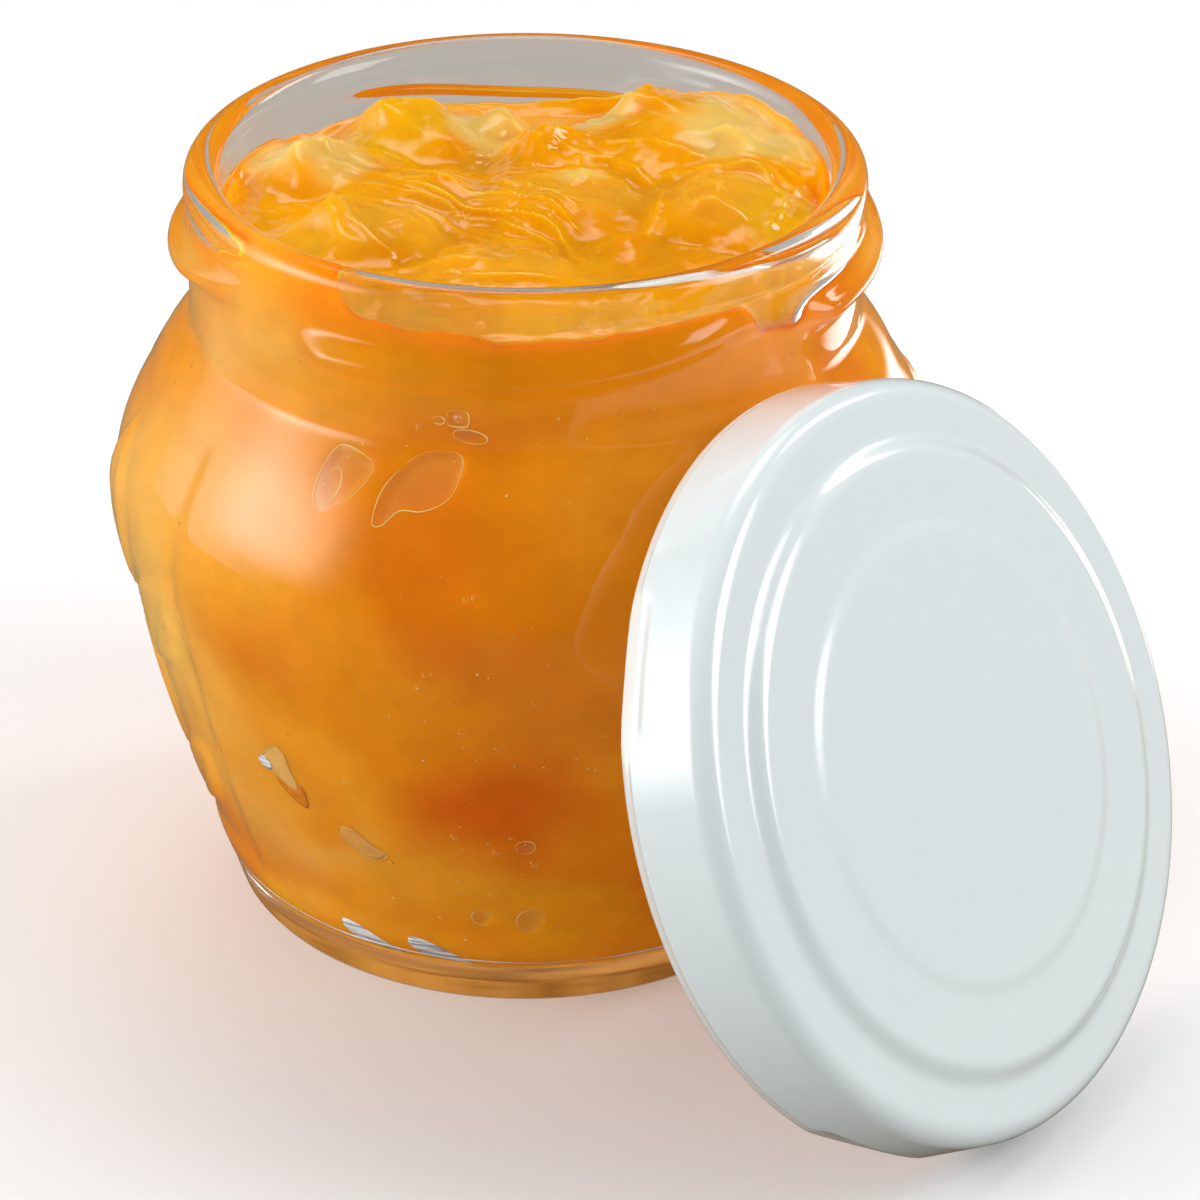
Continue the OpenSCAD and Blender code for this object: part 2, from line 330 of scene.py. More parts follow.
def ridge_height(seen, z):
    """How far the thread stands out from the neck."""
    turn = np.mod(seen - RIDGE_START, 2 * pi / THREAD_COUNT)
    climb = smooth(RIDGE_LEVEL, RIDGE_ARC, turn) * RIDGE_RISE
    low_end = smooth(0, RIDGE_RUN_IN, turn)
    high_end = 1 - smooth(RIDGE_ARC - RIDGE_RUN_OUT, RIDGE_ARC, turn)
    thinning = (RIDGE_THIN_END + (1 - RIDGE_THIN_END) * high_end) * high_end ** 0.5
    off = np.abs(z - (JAR_H - RIDGE_DEPTH + climb)) / RIDGE_W
    return RIDGE_H * low_end * thinning * np.exp(-off ** RIDGE_SQUARENESS)


# Low relief on both flanks: leaves between the two smooth panels
PANEL_MIDDLE = radians(-80)
PANEL_HALF = radians(62)
RELIEF_DEPTH = 0.45
GROOVE_Z = 4.4
GROOVE_DEPTH = 0.14
GROOVE_W = 0.3
RELIEF_LOW = 10
RELIEF_HIGH = 50
VEIN_DEPTH = 0.35
VEIN_W = 0.35
# Leaves of one flank: bearing from the flank's middle, height, half length, half width, lean
LEAVES = [
    (0, 40, 9, 4.6, 0), (-15, 33, 8, 4.2, 38), (15, 33, 8, 4.2, -38),
    (0, 22, 9, 4.4, 0), (-13, 16, 6.5, 3.4, 42), (13, 16, 6.5, 3.4, -42),
]


def relief(seen, z):
    """How far the glass is sunk on its flanks, as a length that is never positive."""
    from_panel = np.abs(np.mod(seen - PANEL_MIDDLE + pi / 2, pi) - pi / 2)
    flank = smooth(PANEL_HALF, PANEL_HALF + radians(4), from_panel)
    level = band(z, RELIEF_LOW - 3, RELIEF_LOW, RELIEF_HIGH, RELIEF_HIGH + 4)
    side = np.mod(seen - PANEL_MIDDLE, pi) - pi / 2
    raised = np.zeros_like(z + seen)
    for bearing, height, length, width, lean in LEAVES:
        x = (side - radians(bearing)) * BELLY_R * 0.9
        across, up = in_turned_axes(x, z - height, radians(lean))
        reach = np.abs(up / length)
        edge = np.abs(across) / width - (1 - reach ** 1.6)
        leaf = (1 - smooth(-0.25, 0.02, edge)) * (reach < 1.2)
        vein = VEIN_DEPTH * np.exp(-(across / VEIN_W) ** 2) * (reach < 0.85)
        raised = np.maximum(raised, leaf * (1 - vein))
    return -RELIEF_DEPTH * flank * level * (1 - raised)


SEAM_BEARINGS = (radians(105), radians(-75))
SEAM_H = 0.07
SEAM_W = 0.22


def seam(seen, z):
    offs = [angle_from(bearing, seen) * NECK_R for bearing in SEAM_BEARINGS]
    ridges = sum(SEAM_H * np.exp(-(off / SEAM_W) ** 2) for off in offs)
    return ridges * band(z, 3, 6, JAR_H - LIP_BAND - 1, JAR_H - LIP_BAND)


def heel_groove(z):
    return -GROOVE_DEPTH * np.exp(-((z - GROOVE_Z) / GROOVE_W) ** 2)


INNER_WAVE = 0.16
OUTER_WAVE = 0.12
SHOULDER_TOP = 56


def inner_wave(turn, z):
    """The slow waves of the glass's inner face."""
    return INNER_WAVE * noise(xyz(BELLY_R, turn, z), 11, 5) * band(z, 6, 12, 60, 66)


def outer_wave(turn, z):
    wave = OUTER_WAVE * (noise(xyz(BELLY_R, turn, z), 9, 6) - 1)
    return wave * band(z, 6, 12, SHOULDER_TOP - 6, SHOULDER_TOP)


FLOOR_GAP, LIP_GAP, NECK_GAP, WALL_GAP = 1.6, 0.24, 0.34, 0.75


def glass_spacing(path):
    r, z = path.T
    zones = [(r < HOLLOW_R - 2) & (z < FLOOR_Z + 1), z > JAR_H - LIP_T, z > SHOULDER_TOP]
    return np.select(zones, [FLOOR_GAP, LIP_GAP, NECK_GAP], WALL_GAP)


GLASS_COLUMNS = 320


def make_glass(material):
    whole = np.concatenate([outer_path(), inner_path()[::-1][1:]])
    path = spaced(soften(whole, CORNER_REACH), glass_spacing)
    path[0, 0] = path[-1, 0] = 0
    turn = round_turns(GLASS_COLUMNS)
    radius, z = path[:, :1], path[:, 1:]
    row_is_outer = (np.arange(len(path)) <= path[:, 1].argmax())[:, None]
    on_wall = smooth(HOLLOW_R, HEEL_R - 1, radius)
    seen = turn - VIEW_TURN
    swell = ridge_height(seen, z) + relief(seen, z) + seam(seen, z) + outer_wave(turn, z) + heel_groove(z)
    moved = np.where(row_is_outer, swell, inner_wave(turn, z)) * on_wall
    return new_object("jar_glass", *capped_revolve(xyz(radius + moved, turn, z)), [material])


# Shape of the jam

# The jam's level falls towards the back; places in its surface are seen from
# the camera, right of and behind the middle, as shares of the mouth's radius
LEVEL_TILT = radians(2.4)
# Mounds: place, radius, and height over the level as a share of the headspace
MOUNDS = [
    (0.56, 0.49, 0.6, 0.76), (0.8, 0.22, 0.38, 0.68), (0.11, 0.04, 0.6, 0.38),
    (0.66, -0.06, 0.45, 0.52), (-0.56, -0.26, 0.41, 0.45), (-0.38, 0.08, 0.53, 0.34),
    (-0.68, 0.34, 0.41, 0.43), (-0.34, 0.62, 0.38, 0.43), (0.13, 0.41, 0.34, 0.41),
    (-0.08, -0.56, 0.53, 0.33),
]
# Diced fruit: place, corner radius, height of its middle over the level as a
# share of that radius, turns, colour
FRUIT = [
    (-0.7, 0.3, 0.215, -0.3, (20, 35, 10), "pale"),
    (-0.4, 0.66, 0.19, -0.14, (35, 15, 40), "yellow"),
    (-0.08, 0.7, 0.13, -0.29, (15, 50, 25), "pale"),
    (0.1, 0.4, 0.185, -0.2, (40, 30, 5), "bright"),
    (0.42, 0.64, 0.205, 0.04, (25, 20, 60), "bright"),
    (0.72, 0.32, 0.19, 0.04, (10, 35, 30), "pale"),
    (-0.6, -0.25, 0.235, -0.32, (30, 30, 50), "golden"),
    (0.22, 0.04, 0.175, -0.39, (20, 20, 15), "golden"),
    (0.66, -0.08, 0.21, -0.27, (35, 10, 70), "golden"),
    (-0.14, -0.53, 0.185, -0.41, (15, 25, 35), "bright"),
    (0.36, -0.36, 0.185, -0.61, (25, 40, 20), "bright"),
]
DICE_SHARE = 1.42
EDGE_BLEND = 0.42
FOLD_BLEND = 0.45
FOLD_TURN = radians(-40)
STRAND_H = 0.3
FINE_STRAND_H = 0.14
# Ridges of skin on the surface: height, half width and places in millimetres
FOLDS = [
    (0.6, 0.55, [(-19, 7.5), (-14, 4.5), (-9, 1.2), (-4, -2), (1, -4.5), (4, -9), (5, -14)]),
    (0.5, 0.45, [(-17, 5), (-11, 1), (-6, -2.2), (-1, -5.2), (2, -9.5), (2.5, -15)]),
    (0.45, 0.4, [(-15, 8), (-9, 4.5), (-3, 1.5), (1.5, -2), (5.5, -6.5)]),
    (0.4, 0.35, [(-13, -0.5), (-8, -4), (-3, -8), (-0.5, -13)]),
    (0.55, 0.6, [(3, 9.5), (8, 6.5), (11.5, 2), (11, -3), (9, -7)]),
    (0.45, 0.45, [(5.5, 10.5), (10, 8.2), (15, 6), (19.5, 2.8)]),
    (0.6, 0.5, [(13, 3.5), (19, 2.6), (22.5, -2.5), (21.5, -8)]),
    (0.4, 0.4, [(15, 1.5), (17, -2.5), (16.5, -8)]),
    (0.55, 0.5, [(-18, -4.5), (-14.5, -7.5), (-11.5, -11), (-11, -14)]),
    (0.45, 0.4, [(-17, -3.5), (-12, -5.5), (-8.5, -9)]),
    (0.5, 0.5, [(-3, -14), (-9, -14.5), (-13, -17)]),
    (0.4, 0.4, [(-6, -17), (0, -17.5), (6, -16)]),
    (0.45, 0.45, [(22, 12), (24.5, 6.5), (24.5, 0)]),
    (0.4, 0.4, [(-8, 11), (-2, 12), (2, 15)]),
    (0.4, 0.4, [(-22, 9), (-17, 12.5), (-12, 12)]),
]
# Height at which the jam meets the glass, by bearing as seen
WALL_LINE = [
    (-180, 66.6), (-168, 66.6), (-156, 67.5), (-146, 68.5), (-139, 69.3), (-127, 69.6), (-123, 68),
    (-119, 66.8), (-116, 67.1), (-111, 66.4), (-100, 66.4), (-95, 65.6), (-88, 65.8), (-60, 66.4),
    (-50, 66), (-46, 63.2), (-36, 61.8), (-20, 62.6), (-12, 65), (-6, 68), (0, 68.8), (40, 69.2),
    (75, 65.6), (90, 64.6), (135, 65.4), (160, 66.8), (180, 66.6),
]
# The jam climbs by this much over the last of its surface before the glass
CLIMB = 0.25
CLIMB_W = 0.7
EDGE_REACH_MIN = 1.2
EDGE_REACH_MAX = 3
JAM_TOP_Z = JAR_H - 0.6


def turned(turns):
    """The axes of a body turned about X, then Y, then Z."""
    a, b, c = np.radians(turns)
    about_x = np.array([[1, 0, 0], [0, cos(a), -sin(a)], [0, sin(a), cos(a)]])
    about_y = np.array([[cos(b), 0, sin(b)], [0, 1, 0], [-sin(b), 0, cos(b)]])
    about_z = np.array([[cos(c), -sin(c), 0], [sin(c), cos(c), 0], [0, 0, 1]])
    return about_z @ about_y @ about_x


def blend_max(heights, blend):
    return blend * np.log(sum(np.exp(np.clip((h - JAM_Z) / blend, -60, 60)) for h in heights)) + JAM_Z


def fruit_top(u, v, fruit):
    """Height of one diced piece, with its edges rounded over."""
    cu, cv, share, lift, turns, _ = fruit
    corner = share * MOUTH_R
    du, dv = u - cu * MOUTH_R, v - cv * MOUTH_R
    middle = JAM_Z + lift * corner
    away = np.hypot(du, dv) / corner
    ball = np.where(away < 0.98, np.sqrt(np.maximum(1 - away ** 2, 0)), 0.2 - 6 * (away - 0.98)) * corner
    sides = [-ball]
    for axis in turned(turns).T:
        n = axis if axis[2] > 0 else -axis
        sides.append(-(DICE_SHARE * corner / 2 - n[0] * du - n[1] * dv) / n[2])
    return middle + JAM_Z - blend_max([JAM_Z + side for side in sides], EDGE_BLEND)


# Places over whose heights a piece of fruit is averaged, which rounds its tips
ROUNDING = [(0, 0), (0.8, 0), (-0.8, 0), (0, 0.8), (0, -0.8)]


def warped(u, v):
    """Places moved about by up to a millimetre, so that forms in the surface are uneven."""
    place = flat_points(u, v)
    return u + 1.1 * noise(place, 5, 21), v + 1.1 * noise(place, 5, 22)


def fold_height(u, v):
    total = np.zeros_like(u + v)
    for height, width, places in FOLDS:
        k = np.array(places, float)
        path = spline([2 * k[0] - k[1], *k, 2 * k[-1] - k[-2]], 5)
        for a, b, t in zip(path, path[1:], np.linspace(0, 1, len(path) - 1)):
            size = height * sin(pi * (0.12 + 0.76 * t))
            total = np.maximum(total, size * np.exp(-from_segment(u, v, a, b) / width))
    return total


def strand_height(u, v, place):
    """Fine strands of skin, which run one way in parts of the surface."""
    s, t = in_turned_axes(u, v, FOLD_TURN)
    strands = flat_points(s / 3.5, t)
    coarse = STRAND_H * (1 - np.abs(noise(strands, 1.9, 31))) ** 4
    fine = FINE_STRAND_H * (1 - np.abs(noise(strands, 0.9, 33))) ** 4
    return smooth(-0.3, 0.5, noise(place, 7, 35)) * (coarse + fine)


def wall_height(u, v, place):
    """Height at which the jam meets the glass, on the bearing of each place."""
    bearings, heights = np.array(WALL_LINE).T
    wall = np.interp(np.degrees(np.arctan2(v, u)), bearings, heights)
    return wall + 0.25 * noise(place, 4, 37) + 0.2 * noise(place, 1.8, 38)


def jam_top(u, v):
    """Height of the jam's surface at places right of and behind its middle, as seen."""
    place = flat_points(u, v)
    warp_u, warp_v = warped(u, v)
    warp_u = warp_u + 0.35 * noise(place, 1.8, 24)
    warp_v = warp_v + 0.35 * noise(place, 1.8, 25)
    heights = [JAM_Z - v * tan(LEVEL_TILT)]
    for cu, cv, share, rise in MOUNDS:
        round_r = share * MOUTH_R
        away = np.hypot(warp_u - cu * MOUTH_R, warp_v - cv * MOUTH_R)
        heights.append(JAM_Z + rise * HEADSPACE - away ** 2 / (2 * round_r))
    for fruit in FRUIT:
        tops = [fruit_top(warp_u + du, warp_v + dv, fruit) for du, dv in ROUNDING]
        heights.append(sum(tops) / len(ROUNDING))
    top = blend_max(heights, FOLD_BLEND)
    top = top + fold_height(warp_u, warp_v) + strand_height(warp_u, warp_v, place)
    top = top + 0.12 * noise(place, 2.4, 36) + 0.05 * noise(place, 0.9, 39)
    r = np.hypot(u, v)
    wall = wall_height(u, v, place)
    near_w = np.maximum(EDGE_REACH_MIN, EDGE_REACH_MAX - 0.9 * np.abs(wall - top))
    near = smooth(MOUTH_R - near_w, MOUTH_R + OVERLAP, r)
    climb = CLIMB * smooth(MOUTH_R - CLIMB_W, MOUTH_R, r)
    return np.minimum(top + (wall - top) * 0.9 * near + climb, JAM_TOP_Z)


# Air between the jam and the glass. Each pocket: bearing as seen, height, depth,
# and its outline as places right of and above its middle in millimetres
def oval(width, height, lean=0, square=2, steps=12):
    turn = round_turns(steps)
    x = width * np.sign(np.cos(turn)) * np.abs(np.cos(turn)) ** (2 / square)
    y = height * np.sign(np.sin(turn)) * np.abs(np.sin(turn)) ** (2 / square)
    return np.stack(in_turned_axes(x, y, -radians(lean)), 1)


AIR_POCKETS = [
    (-119.8, 52, 0.5, [(-1.4, 2.4), (0.6, 2.3), (2.4, 1.5), (1.2, -0.6), (-0.9, -2.4), (-2.3, -1.5),
                         (-2.4, 0.8)]),
    (-107.2, 52.8, 0.5, [(-3.3, -2.8), (-3, -0.5), (-1.2, 1.6), (1.2, 2.9), (3, 2.8), (3.6, 1.6),
                         (2.8, -0.5), (0.8, -1.6), (-1.2, -1.8), (-2.5, -3)]),
    (-121.8, 51.6, 0.2, oval(0.85, 1.3, -15)),
    (-101.6, 58.9, 0.4, oval(0.9, 0.75, 0, 3.5)),
    (-99.4, 57.4, 0.4, oval(1.4, 0.55, -8)),
    (-105, 58.6, 0.3, oval(0.5, 0.35)),
    (-97.6, 10.9, 0.4, oval(0.85, 1)),
    (-89, 10.7, 0.4, oval(1.15, 1.5, -8)),
    (-90, 20.1, 0.4, oval(0.8, 0.75, 20)),
    (-60, 49, 0.5, oval(2.2, 1.6, -15, 2.6)),
    (40, 44, 0.5, oval(2.6, 1.7, 20, 2.6)),
    (95, 30, 0.5, oval(1.8, 2.6, 10, 2.4)),
    (130, 50, 0.5, oval(3, 1.5, -20, 2.6)),
    (170, 24, 0.4, oval(1.6, 1.6)),
    (20, 33, 0.4, oval(1.2, 0.9, 30)),
]


def closed_spline(knots, steps):
    return spline([knots[-1], *knots, knots[0], knots[1]], steps)


def depth_inside(x, y, outline):
    """How far each place lies inside an outline, and 0 outside of it."""
    inside = np.zeros(np.broadcast(x, y).shape, bool)
    nearest = np.full(inside.shape, 1e3)
    for a, b in zip(outline, np.roll(outline, -1, 0)):
        nearest = np.minimum(nearest, from_segment(x, y, a, b))
        if a[1] != b[1]:
            crossing = a[0] + (y - a[1]) * (b[0] - a[0]) / (b[1] - a[1])
            inside ^= ((a[1] > y) != (b[1] > y)) & (x < crossing)
    return np.where(inside, nearest, 0)


def pocket_depth(seen, z, radius):
    """How deep the air pockets dent the jam's wall."""
    dent = np.zeros(np.broadcast(seen, z, radius).shape)
    for bearing, height, depth, places in AIR_POCKETS:
        outline = closed_spline(places, 3)
        off = angle_from(radians(bearing), seen)
        inside = depth_inside(off * radius, z - height, outline)
        dent = np.maximum(dent, depth * smooth(0, 0.6, inside))
    return dent


# Colours of the jam, as seen in the light
JAM_COLOURS = {
    "deep": (0.6, 0.09, 0.0005),
    "orange": (0.74, 0.27, 0.001),
    "bright": (0.84, 0.355, 0.0005),
    "golden": (0.8, 0.38, 0.02),
    "yellow": (0.78, 0.42, 0.005),
    "pale": (0.78, 0.56, 0.15),
}
# Patches of colour in the jam behind the glass: bearing as seen, height, half
# width and half height in millimetres, colour, strength
WALL_PATCHES = [
    (-100, 43, 7, 6, "deep", 0.5), (-95, 25, 9, 7, "deep", 1), (-88, 34, 10, 9, "deep", 0.4),
    (-105, 56, 9, 4, "deep", 0.6), (-133, 17, 8, 7, "pale", 0.5), (-152, 32, 10, 10, "pale", 0.5),
    (-85, 11, 9, 5, "yellow", 0.6), (-104, 33, 8, 6, "orange", 0.8), (-108, 14, 8, 5, "golden", 0.6),
    (-140, 44, 14, 9, "golden", 0.7), (-128, 21, 4, 5, "orange", 0.9), (-150, 25, 12, 14, "golden", 0.6),
    (-142, 4.5, 3, 2.5, "yellow", 1), (-165, 36, 13, 22, "pale", 0.55), (-150, 60, 10, 6, "pale", 0.5),
    (-117, 58, 12, 5, "golden", 0.5), (-70, 50, 8, 8, "golden", 0.5),
    (-30, 40, 12, 14, "golden", 0.6), (-55, 25, 9, 9, "orange", 0.7), (-62, 12, 8, 5, "deep", 0.6),
    (0, 20, 10, 8, "yellow", 0.7), (30, 45, 9, 8, "deep", 0.7), (55, 25, 9, 7, "pale", 0.6),
    (85, 48, 10, 7, "yellow", 0.7), (105, 22, 11, 8, "deep", 0.8), (140, 38, 10, 9, "pale", 0.5),
    (160, 15, 9, 6, "yellow", 0.8), (180, 50, 8, 7, "orange", 0.8), (20, 9, 7, 4, "pale", 0.6),
]


def mix(colours, colour, share):
    return colours + (np.array(JAM_COLOURS[colour]) - colours) * share[..., None]


# Patches of colour in the surface: place and radius in millimetres, colour, strength
TOP_PATCHES = [
    (-22, 2, 6, "bright", 0.9), (12, -13, 8, "orange", 0.8), (20, 13, 8, "pale", 0.8),
    (25, 6, 4, "pale", 0.7), (6.5, 16.5, 4.5, "pale", 0.8), (-4, 15, 4, "pale", 0.7),
    (13, 17, 4.5, "bright", 1),
    (4.5, 3, 2.6, "pale", 0.8), (-9, -3, 6, "golden", 0.5), (22, -4, 4, "yellow", 0.6),
    (-18, -8, 5, "yellow", 0.5), (-4, -15, 5, "golden", 0.5), (-12, 14, 5, "yellow", 0.8),
    (-21, 10, 5, "pale", 0.8),
]


def top_colours(u, v, z):
    place = np.stack(np.broadcast_arrays(u, v, z), -1)
    colours = np.zeros(place.shape) + JAM_COLOURS["bright"]
    colours = mix(colours, "orange", 0.8 * smooth(-0.2, 0.6, noise(place, 6, 41)))
    colours = mix(colours, "golden", 0.7 * smooth(0.1, 0.7, noise(place, 5, 42)))
    warp_u, warp_v = warped(u, v)
    for cu, cv, share, _, _, colour in FRUIT:
        reach = np.hypot(warp_u - cu * MOUTH_R, warp_v - cv * MOUTH_R) / (share * MOUTH_R)
        colours = mix(colours, colour, 0.75 * (1 - smooth(0.6, 1.1, reach)))
    for cu, cv, size, colour, strength in TOP_PATCHES:
        reach = np.hypot(warp_u - cu, warp_v - cv) / size + 0.25 * noise(place, 3, 44)
        colours = mix(colours, colour, strength * (1 - smooth(0.5, 1.1, reach)))
    return colours


def wall_colours(seen, z, radius):
    place = xyz(radius, seen, z)
    colours = np.zeros(place.shape) + JAM_COLOURS["orange"]
    colours = mix(colours, "golden", 0.75 * smooth(-0.2, 0.8, fractal(place, 16, 43)))
    colours = mix(colours, "deep", 0.5 * smooth(0.1, 0.9, noise(place, 12, 46)))
    aside = 3.2 * noise(place, 9, 48) + 0.8 * noise(place, 3.5, 49)
    upward = 2.8 * noise(place, 9, 50) + 0.8 * noise(place, 3.5, 51)
    for bearing, height, width, tall, colour, strength in WALL_PATCHES:
        off = angle_from(radians(bearing), seen)
        reach = np.hypot((off * radius + aside) / width, (z - height + upward) / tall)
        reach = reach + 0.2 * noise(place, 5, 47)
        colours = mix(colours, colour, strength * (1 - smooth(0.25, 1.45, reach)))
    return colours


JAM_COLUMNS = 432
JAM_TOP_GAP = 0.29
JAM_FIXED_Z = 60
JAM_EDGE_R = MOUTH_R + OVERLAP
NECK_ROWS = 12
UNDERSIDE_Z = FLOOR_Z + 0.5
# Heights over which painted shade darkens the jam's edge, on the glass and in its surface
NECK_SHADE_HEIGHTS = (67.4, 68.8)
EDGE_SHADE_HEIGHTS = (67, 68.6)


def jam_spacing(path):
    r, z = path.T
    return np.where((r < HOLLOW_R) & (z < FLOOR_Z + 1), 1.8, 0.62)


def jam_side(turn, seen):
    """Places and colours of the jam on the glass, from the middle of its underside up to the neck."""
    inside = moved_left(INNER_WALL, -OVERLAP)
    side = spaced(inside[inside[:, 1] < JAM_FIXED_Z], jam_spacing)
    side[0, 0] = 0
    radius, z = side[:, :1], side[:, 1:]
    on_wall = smooth(HOLLOW_R, HEEL_R - 3, radius)
    dent = pocket_depth(seen, z, radius) * on_wall
    return xyz(radius + inner_wave(turn, z) * on_wall - dent, turn, z), wall_colours(seen, z, radius)


def jam_neck(turn, seen, low_z):
    """The jam in the neck, up to its edge, with painted shade that makes it darker the higher it stands and
    near its edge.
    """
    edge_z = jam_top(JAM_EDGE_R * np.cos(seen), JAM_EDGE_R * np.sin(seen))
    share = (np.arange(NECK_ROWS) + 1)[:, None] / (NECK_ROWS + 1)
    z = low_z + (edge_z - low_z) * share
    colours = wall_colours(seen, z, JAM_EDGE_R)
    # Painted shade: darker the higher the jam stands, and darkest at its edge
    colours = mix(colours, "deep", 0.3 * smooth(*NECK_SHADE_HEIGHTS, z))
    colours = mix(colours, "deep", 0.6 * (1 - smooth(0, 0.6, edge_z - z)))
    return xyz(JAM_EDGE_R, turn, z), colours


def jam_surface(turn, seen):
    """The jam's surface, from its edge to its middle."""
    rings = np.linspace(JAM_EDGE_R, 0, int(JAM_EDGE_R / JAM_TOP_GAP))[:, None]
    u, v = rings * np.cos(seen), rings * np.sin(seen)
    z = jam_top(u, v)
    radius = rings + 0 * u
    colours = top_colours(u, v, z)
    # Painted shade on the jam's rim where it meets the glass, and on the front of its high edge
    colours = mix(colours, "deep", 0.95 * smooth(JAM_EDGE_R - 0.6, JAM_EDGE_R - 0.1, radius))
    painted_edge_shade = smooth(*EDGE_SHADE_HEIGHTS, z) * smooth(JAM_EDGE_R - 3, JAM_EDGE_R - 1, radius)
    colours = mix(colours, "deep", 0.5 * painted_edge_shade * (v < 0))
    return xyz(rings, turn, z), colours


def make_jam(wall_material, top_material, under_material):
    turn = round_turns(JAM_COLUMNS)
    seen = turn - VIEW_TURN
    side = jam_side(turn, seen)
    neck = jam_neck(turn, seen, side[0][-1, 0, 2])
    grid, colours = [np.concatenate(rows) for rows in zip(side, neck, jam_surface(turn, seen))]
    points, faces = capped_revolve(grid)
    first_top = (len(side[0]) + NECK_ROWS - 1) * JAM_COLUMNS
    slots = [2 if points[face[0]][2] < UNDERSIDE_Z else int(min(face) >= first_top) for face in faces]
    jam = new_object("jam", points, faces, [wall_material, top_material, under_material], slots)
    flat = pole_rows_last(colours)
    layer = jam.data.color_attributes.new("fruit_colour", "FLOAT_COLOR", "POINT")
    layer.data.foreach_set("color", np.insert(flat, 3, 1, axis=1).ravel())
    return jam


# Shape of the lid

def lid_path():
    """The lid's section, from the middle of its inner face round the rolled edge to the middle of its top."""
    panel_top = LID_H + PANEL_RISE
    face = panel_top + DISC_RISE
    outer = np.concatenate([
        [[CURL_R, CURL], [LID_R, LID_H - SHOULDER]],
        arc((LID_R - SHOULDER, LID_H - SHOULDER), SHOULDER, 10, 90),
        soft_step((PANEL_FOOT_R, LID_H), (PANEL_R, panel_top)),
        soft_step((DISC_R, panel_top), (DISC_R - DISC_STEP, face)),
        [[0, face]],
    ])
    fine = soften(outer, 0.18, 0.05)
    inner = moved_left(fine, SHEET)
    inner = inner[(inner[:, 1] > 2 * CURL) & (inner[:, 0] >= 0)]
    roll = arc((CURL_R - CURL, CURL), CURL, 80, -360, 60)[:-4]
    return np.concatenate([[[0, inner[-1, 1]]], inner[::-1], roll, fine[6:-1], [[0, face]]])


def lid_spacing(path):
    r, z = path.T
    return np.select([z < 2.6 * CURL, r < DISC_R - DISC_STEP - 0.5], [0.15, 1.6], 0.25)


def press_lugs(radius, z, turn):
    """The rolled edge, flattened outside and pressed in at each lug."""
    step = 2 * pi / LUG_COUNT
    off = np.mod(turn - radians(LUG_TURN) + step / 2, step) - step / 2
    at_lug = 1 - smooth(radians(LUG_ARC / 2 - 3), radians(LUG_ARC / 2 + 4), np.abs(off))
    low = 1 - smooth(2 * CURL, 3.4 * CURL, z)
    flat = FLAT_R / np.cos(off)
    pressed = np.where(radius > flat, flat + 0.08 * (radius - flat), radius)
    moved = radius + (pressed - radius) * low
    middle = CURL_R - CURL
    reach_in = np.clip((middle - radius) / CURL, 0, 1) * (z < 2.2 * CURL)
    moved = moved - at_lug * reach_in * (middle - CURL - LUG_R)
    return moved, z + at_lug * low * LUG_LIFT * smooth(CURL, 2 * CURL, z) * (radius < LID_R)


LID_COLUMNS = 320


def on_the_table(points):
    """Points of the lid's own frame, at its place against the jar."""
    x, y, z = np.moveaxis(points, -1, 0)
    return np.stack([x, *in_turned_axes(y, z, -LEAN)], -1) + LID_CENTRE


def make_lid(enamel, lacquer):
    path = spaced(lid_path(), lid_spacing)
    path[0, 0] = path[-1, 0] = 0
    turn = round_turns(LID_COLUMNS)
    radius, z = press_lugs(path[:, :1] + 0 * turn, path[:, 1:] + 0 * turn, turn)
    points, faces = capped_revolve(xyz(radius, turn, z))
    outside = (int(path[:, 1].argmin()) - 1) * LID_COLUMNS
    inner_middle = (len(path) - 2) * LID_COLUMNS
    slots = [int(max(face) < outside or inner_middle in face) for face in faces]
    return new_object("lid_shell_enamelled", on_the_table(points), faces, [enamel, lacquer], slots)


def make_seal(material):
    top = LID_H - SHEET - SEAL_GAP
    outer_r = LID_R - SHOULDER
    path = np.concatenate([
        arc((SEAL_INNER_R + SEAL_ROUND, top - SEAL_T + SEAL_ROUND), SEAL_ROUND, 180, 270, 8),
        soft_step((SEAL_INNER_R + 1.2, top - SEAL_T), (outer_r - 1.6, top - SEAL_T + SEAL_SLOPE), 10),
        arc((outer_r - SEAL_ROUND, top - SEAL_T + SEAL_ROUND), SEAL_ROUND, 270, 360, 8),
        [[outer_r, top], [SEAL_INNER_R, top]],
    ])
    turn = round_turns(LID_COLUMNS)
    radius, z = path[:, :1], path[:, 1:]
    wave = SEAL_WAVE * noise(xyz(radius, turn, z), 5, 61) * (z < top - 0.3)
    points = xyz(radius, turn, z + wave).reshape(-1, 3)
    faces = ring_faces(len(path), LID_COLUMNS, closed=True)
    return new_object("sealing_ring", on_the_table(points), faces, [material])


# Small things in the jam against the glass

def wall_place(seen, z, depth=0):
    """A place on the jam's wall, or as deep in the jam as said."""
    turn = seen + VIEW_TURN
    rising = INNER_WALL[INNER_WALL[:, 1] > FLOOR_Z + 0.2]
    radius = np.interp(z, rising[:, 1], rising[:, 0]) + inner_wave(turn, z) + OVERLAP - depth
    return xyz(radius, turn, z)


def joined(parts):
    """Points and faces of several meshes as one."""
    points, faces, count = [], [], 0
    for part_points, part_faces in parts:
        points.append(part_points)
        faces += [[count + i for i in face] for face in part_faces]
        count += len(part_points)
    return np.concatenate(points), faces


def closed_tube(path, radii, sides=8):
    ahead = np.roll(path, -1, 0) - np.roll(path, 1, 0)
    ahead /= np.linalg.norm(ahead, axis=1)[:, None]
    out = path * [1, 1, 0]
    out /= np.linalg.norm(out, axis=1)[:, None]
    across = np.cross(ahead, out)
    turn = round_turns(sides)
    around = np.cos(turn)[:, None] * out[:, None] + np.sin(turn)[:, None] * across[:, None]
    points = path[:, None] + radii[:, None, None] * around
    return points.reshape(-1, 3), ring_faces(len(path), sides, closed=True)


